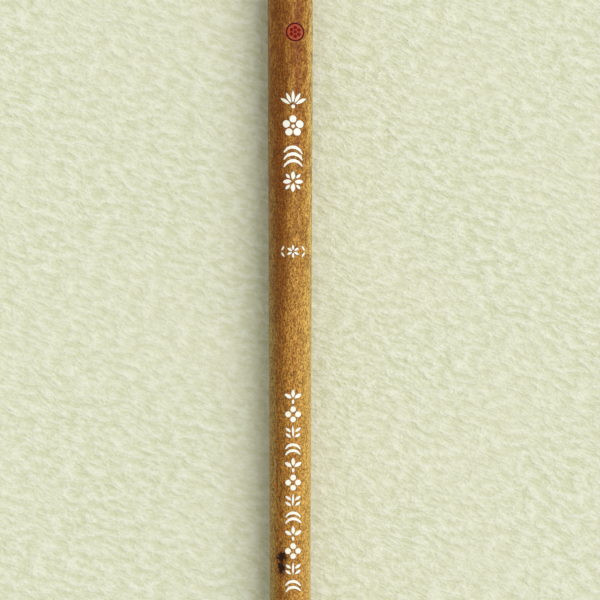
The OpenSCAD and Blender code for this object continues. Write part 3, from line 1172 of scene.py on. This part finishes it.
def distances(points, loop):
    """How far each flat point is from an outline, and whether it is inside."""
    a = np.array(loop)
    b = np.roll(a, -1, 0)
    p = np.array(points)[:, None]
    along = b - a
    t = np.clip(((p - a) * along).sum(-1) / (along ** 2).sum(-1), 0, 1)
    away = np.linalg.norm(p - a - along * t[..., None], axis=-1).min(1)
    crosses = (a[:, 1] > p[..., 1]) != (b[:, 1] > p[..., 1])
    rise = np.where(b[:, 1] == a[:, 1], 1, b[:, 1] - a[:, 1])
    left = p[..., 0] < (b[:, 0] - a[:, 0]) * (p[..., 1] - a[:, 1]) / rise + a[:, 0]
    return away, (crosses & left).sum(1) % 2 == 1


groups = {"seal": seal_ring + seal_shapes, "upper": upper_shapes, "lower": lower_shapes}
loops, owner = [], []
for key, shapes in groups.items():
    for shape in shapes:
        loops.append(unrolled(shape))
        owner.append(key)

inner = [(FLAT_R * turn_step * k, skin_from + row_step * j)
         for j in range(row_low + 1, row_high) for k in range(1 - SIDE, SIDE)]
scar_flat = FLAT_R * math.asin(SCAR[0] / SCAR_R)
inner += [(scar_flat + x, SCAR[1] + y) for x in np.arange(-1.05, 1.06, 0.117)
          for y in np.arange(-2.7, 2.71, 0.15)]
keep = np.ones(len(inner), bool)
for loop in loops:
    away, inside = distances(inner, loop)
    if loop is not loops[RING_HOLE]:
        keep &= away > CLEAR
        keep &= ~inside | (loop is loops[SEAL_EDGE])
hole_away, in_hole = distances(inner, loops[RING_HOLE])
in_seal = distances(inner, loops[SEAL_EDGE])[1]
keep &= ~in_seal | (in_hole & (hole_away > CLEAR))
inner = [p for p, kept in zip(inner, keep) if kept]
print(len(loops), "outlines,", len(inner), "points between them")

# %% [markdown]
# The triangulation also says which outlines each triangle lies in. The last outline of the list
# wins, and a triangle in the hole of the seal's ring still belongs to the skin unless a petal covers
# it. If two outlines touched, the result would not have as many points as went in, so that stops
# the script.


# %% Triangles of the sheet
def rim_of_panel():
    """Grid places (row, column) round the panel, anticlockwise."""
    bottom = [(row_low, k) for k in range(-SIDE, SIDE)]
    right = [(j, SIDE) for j in range(row_low, row_high)]
    top = [(row_high, k) for k in range(SIDE, -SIDE, -1)]
    left = [(j, -SIDE) for j in range(row_high, row_low, -1)]
    return bottom + right + top + left


rim = rim_of_panel()
flat = [(FLAT_R * turn_step * k, skin_from + row_step * j) for j, k in rim]
edges = [(i, (i + 1) % len(rim)) for i in range(len(rim))]
flat += inner
loop_at = []
for loop in loops:
    loop_at.append(range(len(flat), len(flat) + len(loop)))
    flat += loop
outlines = [list(at) for at in loop_at]
outlines[RING_HOLE].reverse()
made = delaunay_2d_cdt([Vector(p) for p in flat], edges, outlines, 0, 1e-7)
flat_out, triangles, came_from, inside_of = made[0], made[2], made[3], made[5]
if len(flat_out) != len(flat):
    raise RuntimeError("outlines touch in the flat sheet")
number = [source[0] for source in came_from]
triangles = [tuple(number[v] for v in face) for face in triangles]
print(len(triangles), "triangles from", len(flat), "points")


def cut_by(inside):
    """Which group of shapes a triangle belongs to, or None for the skin."""
    shapes = [i for i in inside if i != RING_HOLE]
    if not shapes or (RING_HOLE in inside and len(shapes) == 1):
        return None
    return owner[max(shapes)]


cut_of = [cut_by(inside) for inside in inside_of]
print("triangles in cuts:", sum(1 for c in cut_of if c))

# %% [markdown]
# A knife cuts a wall that leans in a little, so the bottom of each cut is narrower than its top. The
# next helper moves an outline inwards. It moves narrow places less, because the two sides of a leaf
# would cross near its point.


# %% Move an outline inwards
def width_across(p, inwards):
    """For each point of an outline, how far the other side is."""
    start, side = p[None], (np.roll(p, -1, 0) - p)[None]
    to_start = start - p[:, None]
    ray = inwards[:, None]
    spread = ray[..., 0] * side[..., 1] - ray[..., 1] * side[..., 0]
    spread = np.where(np.abs(spread) < 1e-9, 1e-9, spread)
    t = (to_start[..., 0] * side[..., 1] - to_start[..., 1] * side[..., 0]) / spread
    u = (to_start[..., 0] * ray[..., 1] - to_start[..., 1] * ray[..., 0]) / spread
    return np.where((t > 1e-4) & (u >= 0) & (u <= 1), t, 1e3).min(1)


def inset(loop, amount):
    p = np.array(loop)
    before, after = p - np.roll(p, 1, 0), np.roll(p, -1, 0) - p
    sizes = [np.linalg.norm(v, axis=1) for v in (before, after)]
    normals = [np.stack([-v[:, 1], v[:, 0]], 1) / size[:, None]
               for v, size in zip((before, after), sizes)]
    inwards = normals[0] + normals[1]
    inwards /= np.linalg.norm(inwards, axis=1)[:, None]
    lean = np.maximum((inwards * normals[0]).sum(1), 0.4)
    limit = 0.35 * width_across(p, inwards)
    limit = np.where(lean < 0.75, np.minimum(limit, 0.7 * np.minimum(*sizes)), limit)
    return p + inwards * np.minimum(amount / lean, limit)[:, None]


def rolled_up(point, depth=0.0):
    """A point of the flat sheet, put on the stick below the skin by depth."""
    angle, along = point[0] / FLAT_R, point[1]
    return polar(angle, along, skin_r(angle, along) - depth)


print("widest move at the seal's edge", round(float(np.abs(
    inset(loops[SEAL_EDGE], 0.06) - np.array(loops[SEAL_EDGE])).max()), 3), "mm")

# %% [markdown]
# ## Shaft
#
# Now the sheet is rolled up and joined to the rest of the stick: rings of skin, the tenon in front,
# the natural hollow, and the socket for the cap's spigot. Everything is one closed mesh. The skin's
# normals come from the function above, so long thin triangles don't show in the shine, and the lips
# of the cuts are marked sharp.

# %% Shaft mesh
CUT_DEPTH, WALL_LEAN = 0.25, 0.06
HOLLOW_R, SPIGOT_GAP = 1.6, SPIGOT_R + GLUE
TENON_BEVEL = 0.3


def shaft_lining(points, grid):
    """Socket, hollow and tenon, from the skin's rim at the tail round to its rim in front."""
    rows = [[grid[ROWS, k] for k in range(AROUND)]]
    for along, r in ((skin_to, SPIGOT_GAP), (spigot_from, SPIGOT_GAP), (spigot_from, HOLLOW_R),
                     (tenon_from, HOLLOW_R), (tenon_from, TENON_R - TENON_BEVEL),
                     (tenon_from + TENON_BEVEL, TENON_R), (skin_from, TENON_R)):
        rows.append(add_ring(points, along, r))
    rows.append([grid[0, k] for k in range(AROUND)])
    return bands(rows)


def smooth_skin(mesh, skin, normals):
    """Gives the skin's faces, which come first in the mesh, the skin's own normals."""
    corners = np.zeros((len(mesh.loops), 3))
    used = np.empty(len(mesh.loops), dtype=np.int32)
    mesh.loops.foreach_get("vertex_index", used)
    skin_corners = sum(len(face) for face in skin)
    corners[:skin_corners] = np.array(normals)[used[:skin_corners]]
    mesh.normals_split_custom_set(corners.tolist())


def make_shaft():
    points, normals, grid = [], [], {}

    def skin_point(angle, along):
        points.append(polar(angle, along, skin_r(angle, along)))
        normals.append(skin_normal(angle, along))
        return len(points) - 1

    def in_panel(row, column):
        return row_low < row < row_high and -SIDE < column < SIDE

    for row in range(ROWS + 1):
        for k in range(AROUND):
            column = k - AROUND if k > AROUND // 2 else k
            if not in_panel(row, column):
                grid[row, k] = skin_point(turn_step * column, skin_from + row_step * row)
    on_stick = [grid[row, column % AROUND] for row, column in rim]
    on_stick += [skin_point(s / FLAT_R, along) for s, along in flat[len(rim):]]

    skin, cuts = [], []
    for row in range(ROWS):
        for k in range(AROUND):
            column = k - AROUND if k >= AROUND // 2 else k
            if row_low <= row < row_high and -SIDE <= column < SIDE:
                continue
            n = (k + 1) % AROUND
            skin.append((grid[row, k], grid[row, n], grid[row + 1, n], grid[row + 1, k]))
    skin += [tuple(on_stick[v] for v in face) for face, cut in zip(triangles, cut_of) if not cut]

    bottom = {}
    for at, loop in zip(loop_at, loops):
        for flat_number, point in zip(at, inset(loop, WALL_LEAN)):
            bottom[flat_number] = len(points)
            points.append(rolled_up(point, CUT_DEPTH))
        for i, j in zip(at, [*at[1:], at[0]]):
            cuts.append((on_stick[i], on_stick[j], bottom[j], bottom[i]))
    cuts += [tuple(bottom[v] for v in face) for face, cut in zip(triangles, cut_of) if cut]

    inside = shaft_lining(points, grid)
    made = mesh_object("shaft_bamboo", points, skin + cuts + inside, [BAMBOO_SKIN, BAMBOO_CUT_SHADE])
    mesh = made.data
    slots = [0] * len(skin) + [1] * (len(cuts) + len(inside))
    mesh.polygons.foreach_set("material_index", slots)
    mesh.set_sharp_from_angle(angle=math.radians(35))
    smooth_skin(mesh, skin, normals)
    return made


settle(make_shaft(), "bamboo", "shaft")

# %% [markdown]
# ## Paint in the cuts
#
# Each cut is filled almost to the skin. The paint is a closed solid with a slightly softened top
# edge, set a hair's breadth inside the wall, so a thin dark line is left round every mark. The cuts
# catch a warm shadow there, which makes the cream look crisp. PAINT_RINGS gives the rings of the
# solid from the bottom up, each with its distance in from the cut's outline and its depth, in mm.

# %% Paint solids
PAINT_RINGS = ((0.058, 0.245), (0.03, 0.12), (0.024, 0.06), (0.05, 0.042))


def paint_in(key, name, *finishes):
    """The paint of one group of cuts. A second finish is for the seal's ring."""
    points, faces, tops, bottoms = [], [], {}, {}
    for at, loop, kept in zip(loop_at, loops, owner):
        if kept != key:
            continue
        rings = []
        for amount, depth in PAINT_RINGS:
            rings.append(range(len(points), len(points) + len(loop)))
            points += [rolled_up(point, depth) for point in inset(loop, amount)]
        for low, high in zip(rings, rings[1:]):
            for i in range(len(loop)):
                n = (i + 1) % len(loop)
                faces.append((low[i], low[n], high[n], high[i]))
        bottoms.update(zip(at, rings[0]))
        tops.update(zip(at, rings[-1]))
    for face, cut in zip(triangles, cut_of):
        if cut == key:
            faces.append(tuple(tops[v] for v in face))
            faces.append(tuple(bottoms[v] for v in reversed(face)))
    made = mesh_object(name, points, faces, finishes)
    made.data.set_sharp_from_angle(angle=math.radians(30))
    in_ring = len(PAINT_RINGS) * sum(len(loop) for loop in loops[:RING_HOLE + 1])
    for polygon in made.data.polygons:
        if len(finishes) > 1 and polygon.vertices[0] < in_ring:
            polygon.material_index = 1
    return made


settle(paint_in("seal", "seal_paint", RED, RING_SHADE_RED), "red_paint", "seal_fill")
settle(paint_in("upper", "upper_mark_paint", CREAM), "cream_paint", "upper_mark_fill")
settle(paint_in("lower", "lower_mark_paint", CREAM), "cream_paint", "lower_mark_fill")

# %% [markdown]
# ## Hair
#
# The tuft is built like the real one, in three layers: a stiff dark core that makes the point, a
# shorter belly that holds the ink, and a fine golden cloak. The layers lie round each other, so one
# outer shape is drawn first, and the others follow from it with a gap between. All of them are
# radii at a distance out from the ferrule's mouth, in mm. Behind the mouth, the cloak has a waist
# that leaves room for the binding of thread.

# %% Shape of the tuft
HAIR_LENGTH = mouth - tip
BELLY_AT, BELLY_R, MOUTH_R, TIP_R = 13.0, 5.3, 4.42, 0.12
CLOAK_END, BELLY_END = HAIR_LENGTH - 4, HAIR_LENGTH - 15
CLOAK_ROOT, BELLY_ROOT, THIN_EDGE, LAYER_GAP = 0.95, 1.2, 0.06, 0.03
ROOT_LENGTH, WAIST_FROM = 9.4, 4.0
HAIR_GAP, THREAD_D = 0.08, 0.36
WAIST_R = CUP_R - 2 * HAIR_GAP - THREAD_D
POCKET_ROOM = 0.46


def tuft_r(out):
    if out <= BELLY_AT:
        return MOUTH_R + (BELLY_R - MOUTH_R) * math.sin(math.pi / 2 * max(out, 0) / BELLY_AT)
    t = min(1, (out - BELLY_AT) / (HAIR_LENGTH - BELLY_AT))
    return TIP_R + (BELLY_R - TIP_R) * max(0, math.cos(math.pi / 2 * t)) ** 1.25


def cloak_in(out):
    return tuft_r(out) - THIN_EDGE - CLOAK_ROOT * (1 - out / CLOAK_END)


def belly_out(out):
    return cloak_in(out) - LAYER_GAP


def belly_in(out):
    return belly_out(out) - THIN_EDGE - BELLY_ROOT * (1 - out / BELLY_END)


def core_r(out):
    if out < BELLY_END:
        return belly_in(out) - LAYER_GAP
    if out < CLOAK_END:
        return belly_out(out)
    return TIP_R + (belly_out(CLOAK_END) - TIP_R) * (HAIR_LENGTH - out) / (HAIR_LENGTH - CLOAK_END)


print("tuft", round(HAIR_LENGTH, 1), "mm long,", round(2 * tuft_r(BELLY_AT), 1), "mm thick")

# %% [markdown]
# Each layer is a smooth body, which keeps light from shining through, with single strands laid over
# it. Blender's own hair would not survive an export as a mesh, so a strand is a thin tapered tube.
# It has three sides, because nobody sees more sides on a hair. Strands drift towards neighbours as
# they go out, so the tuft divides into soft locks.

# %% Strands
STRAND_SIDES = ((1, 0), (-0.5, 0.866), (-0.5, -0.866))


def strands(count, outer, depth, start, end, thick, seed, steps=13, clumps=26):
    """Points, faces and values of many strands that lie on a round shape."""
    rng = np.random.default_rng(seed)
    i = np.arange(count)
    angle = i * math.pi * (3 - math.sqrt(5)) + rng.normal(0, 0.03, count)
    deep = rng.random(count) ** 1.6
    reach_end = end * (1 - 0.14 * rng.random(count) ** 2)
    centre = (np.round(angle / (2 * math.pi) * clumps) + rng.normal(0, 0.12, count))
    pull = (centre / clumps * 2 * math.pi - angle) * rng.uniform(0.35, 0.8, count)
    sway, phase = rng.normal(0, 0.035, count), rng.uniform(0, 6.28, count)
    tone = np.clip(rng.normal(0.45, 0.24, count), 0, 1)
    thickness = thick * rng.uniform(0.75, 1.2, count)
    table_out = np.linspace(0, HAIR_LENGTH, 400)
    table_r = np.array([outer(o) for o in table_out])
    table_depth = np.array([max(0.02, depth(o)) for o in table_out])

    points, reach = [], []
    for k in range(steps):
        t = (k / (steps - 1)) ** 0.9
        out = start + (reach_end - start) * t
        hair = thickness * (1 - t ** 4) * 0.5 + 0.012
        free = np.clip(out, 0, None) / end
        a = angle + pull * free ** 2 + sway * np.sin(phase + free * 5) * free
        shape_r = np.interp(out, table_out, table_r)
        hair = np.minimum(hair, shape_r * 0.3)
        r = shape_r - hair - deep * np.interp(out, table_out, table_depth)
        r = np.maximum(r, 0)
        for up, across in STRAND_SIDES:
            far, aside = r + hair * up, hair * across
            points.append(np.stack([far * np.sin(a) + aside * np.cos(a), mouth - out,
                                    axis_z + far * np.cos(a) - aside * np.sin(a)], 1))
            reach.append(out / HAIR_LENGTH)
    points = np.stack(points, 1).reshape(-1, 3)
    reach = np.clip(np.stack(reach, 1).reshape(-1), 0, 1)
    faces = []
    for first in range(0, count * steps * 3, steps * 3):
        for k in range(steps - 1):
            a = first + 3 * k
            for side, n in ((0, 1), (1, 2), (2, 0)):
                faces.append((a + side, a + 3 + side, a + 3 + n, a + n))
        last = first + 3 * (steps - 1)
        faces += [(first, first + 1, first + 2), (last + 2, last + 1, last)]
    return points.tolist(), faces, np.repeat(tone, steps * 3).tolist(), reach.tolist()


print("a strand has", len(STRAND_SIDES), "sides")

# %% [markdown]
# A piece of hair is its body and its strands in one mesh. Two values are stored on each point, tone
# and reach, which drive the colour in the material.


# %% Hair pieces
def hair_piece(name, body_outline, laid_on, finish, node, slot):
    """A smooth body with strands over it."""
    points = []
    closed = body_outline[0] == body_outline[-1]
    rings = body_outline[:-1] if closed else body_outline
    rows = [add_ring(points, mouth - out, r) for out, r in rings]
    faces = bands(rows + rows[:1] if closed else rows)
    tone = [0.7] * len(points)
    reach = [max(0, min(1, (mouth - p[1]) / HAIR_LENGTH)) for p in points]
    more_points, more_faces, more_tone, more_reach = laid_on
    first = len(points)
    faces += [tuple(v + first for v in face) for face in more_faces]
    made = mesh_object(name, points + more_points, faces, [finish])
    for key, values in (("tone", tone + more_tone), ("reach", reach + more_reach)):
        stored = made.data.attributes.new(key, "FLOAT", "POINT")
        stored.data.foreach_set("value", values)
    settle(made, slot, node, body=None)
    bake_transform(made)


print("hair bends from", round(mouth, 1), "to", round(tip, 1), "mm")

# %% [markdown]
# Three colours lie along a strand, at its root, its middle and its point. The higher a strand's
# own tone is, the darker it looks, as if it lay deeper in the tuft. The cloak is golden, the belly
# is duller and the core is dark.


# %% Hair materials
def hair(name, root, middle, point, spread, roughness):
    mat, g, shader = material(name, Roughness=roughness)
    where, _ = g.place()
    shade = g.group(STRAND, Root=(*root, 1), Middle=(*middle, 1), Point=(*point, 1),
                    Spread=spread)
    fine = g.group(GRAIN, Position=where, Across=5.0, Along=0.12, Low=0.35, High=0.7)["Mask"]
    color = g.mix(g.times(fine, 0.4), shade["Color"], (0.72, 0.62, 0.5), "MULTIPLY")
    g.feed(shader.inputs["Base Color"], color)
    g.feed(shader.inputs["Roughness"], g.fade(shade["Tone"], 0, 1, roughness - 0.08,
                                             roughness + 0.1))
    bump(g, shader, fine, 0.05, 0.4)
    return mat


CLOAK_HAIR = hair("cloak_hair", (0.72, 0.47, 0.2), (0.64, 0.36, 0.12), (0.36, 0.155, 0.04),
                  0.7, 0.4)
BELLY_HAIR = hair("belly_hair", (0.62, 0.42, 0.2), (0.5, 0.3, 0.12), (0.4, 0.21, 0.08), 0.5, 0.5)
CORE_HAIR = hair("core_hair", (0.3, 0.15, 0.06), (0.2, 0.085, 0.03), (0.07, 0.026, 0.01), 0.5, 0.4)
print("hair materials made")

# %% [markdown]
# The cloak and the belly are hollow, with their roots inside the cup, and the core is solid. An
# outline that ends where it began makes a closed body with a hollow. Each layer has its own seed,
# so that its strands don't repeat those of another layer.


# %% Lay the three layers
def layer(outer, inner, end, back, share):
    """A closed outline between two shapes, from the root to where the layer thins out."""
    outs = np.linspace(0, end, 34)
    face = [(out, outer(out) - share * (outer(out) - inner(out))) for out in outs]
    lining = [(out, inner(out)) for out in outs[::-1]]
    return [*back[0], *face, *lining, *back[1]]


def facing_out(outline):
    """Puts a closed outline in the order that makes its faces look outwards."""
    return [*reversed(outline), outline[-1]]


cloak_back = ([(-ROOT_LENGTH, WAIST_R), (-WAIST_FROM, WAIST_R), (1 - WAIST_FROM, MOUTH_R - 0.05)],
              [(-ROOT_LENGTH, cloak_in(0))])
cloak_body = facing_out(layer(tuft_r, cloak_in, CLOAK_END - 1.5, cloak_back, 0.4))
cloak_strands = strands(850, tuft_r, lambda o: 0.3 * (tuft_r(o) - cloak_in(o)), -1.5, CLOAK_END,
                        0.26, seed=3)
hair_piece("cloak_hair_strands", cloak_body, cloak_strands, CLOAK_HAIR, "cloak_hair",
           "cloak_hair")

pocket_r = core_r(0) + POCKET_ROOM
belly_back = ([(-ROOT_LENGTH, belly_out(0) - 0.02)],
              [(-WAIST_FROM, belly_in(0)), (-WAIST_FROM, pocket_r), (-ROOT_LENGTH, pocket_r)])
belly_body = facing_out(layer(belly_out, belly_in, BELLY_END - 1.5, belly_back, 0.3))
belly_strands = strands(260, belly_out, lambda o: 0.3 * (belly_out(o) - belly_in(o)), -1.5,
                        BELLY_END, 0.3, seed=5)
hair_piece("belly_hair_strands", belly_body, belly_strands, BELLY_HAIR, "belly_hair",
           "belly_hair")

core_outs = np.linspace(0, HAIR_LENGTH - 0.7, 40)
core_body = [(-ROOT_LENGTH, 0), (-ROOT_LENGTH, core_r(0))]
core_body += [(out, core_r(out) * 0.9) for out in core_outs] + [(HAIR_LENGTH - 0.6, 0)]
core_strands = strands(240, core_r, lambda o: 0.1 * core_r(o), -1.5, HAIR_LENGTH, 0.24, seed=8)
hair_piece("core_hair_strands", list(reversed(core_body)), core_strands, CORE_HAIR, "core_hair",
           "core_hair")

# %% [markdown]
# ## The size of the brush
#
# The finished brush has to fill the same box as the CAD model.
